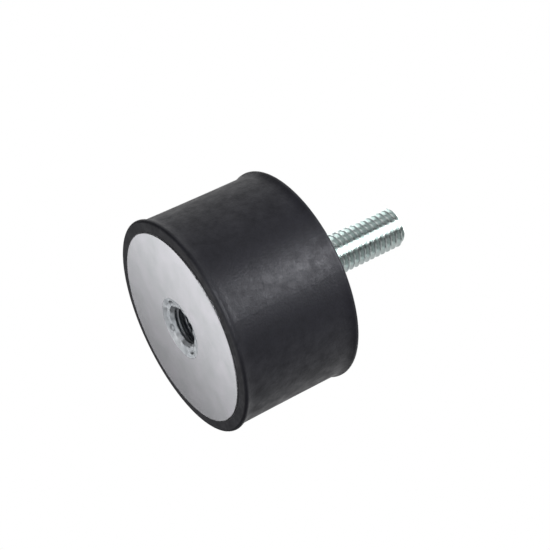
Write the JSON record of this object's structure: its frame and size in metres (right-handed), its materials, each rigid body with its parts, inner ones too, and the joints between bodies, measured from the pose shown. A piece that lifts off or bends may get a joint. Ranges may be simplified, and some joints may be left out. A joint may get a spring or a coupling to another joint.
{
  "type": "bobbin vibration mount",
  "caption": "Cylindrical rubber mount bonded between two steel discs, with a threaded stud at one end and a threaded socket at the other, that isolates machinery from vibration.",
  "frame": {"origin": "centre of the socket plate's steel face, on which the mount stands", "axes": "+Z along the axis of the mount, from the socket face to the tip of the stud; the stake marks round the socket lie on X and Y"},
  "size_m": [0.05, 0.05, 0.059],
  "materials": {
    "rubber": "moulded natural rubber, dull black",
    "disc_steel": "zinc plated, satin",
    "insert_steel": "zinc plated, machined",
    "stud_steel": "zinc plated, rolled thread"
  },
  "bodies": {
    "root": {"rubber_body": "rubber", "socket_plate": "disc_steel", "stud_plate": "disc_steel", "threaded_insert": "insert_steel", "threaded_stud": "stud_steel"}
  },
  "joints": []
}
